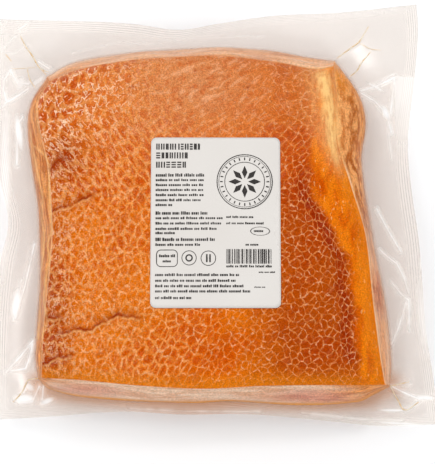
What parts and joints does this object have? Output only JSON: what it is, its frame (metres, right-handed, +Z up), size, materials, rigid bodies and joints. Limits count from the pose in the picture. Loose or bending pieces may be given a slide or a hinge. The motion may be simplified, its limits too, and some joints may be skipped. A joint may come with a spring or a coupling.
{
  "type": "vacuum-packed smoked pork belly",
  "caption": "Slab of smoked pork belly sealed in a clear flat vacuum pouch, with a rounded white label on its top face.",
  "frame": {"origin": "middle of the pack's base, on the surface it lies on", "axes": "+Z up out of the label side, +Y towards the back edge, +X to the right as the label is read"},
  "size_m": [0.317, 0.3066, 0.0468],
  "materials": {
    "smoked_meat": "moist smoked fat and lean under film: orange-brown, pale net of creases, semi-gloss",
    "clear_film": "clear glossy laminate film, hazy where two webs lie together",
    "label_paper": "warm white coated paper",
    "label_ink": "near-black print"
  },
  "bodies": {
    "root": {"pork_belly": "smoked_meat", "pouch": "clear_film", "label": "label_paper"}
  },
  "joints": []
}
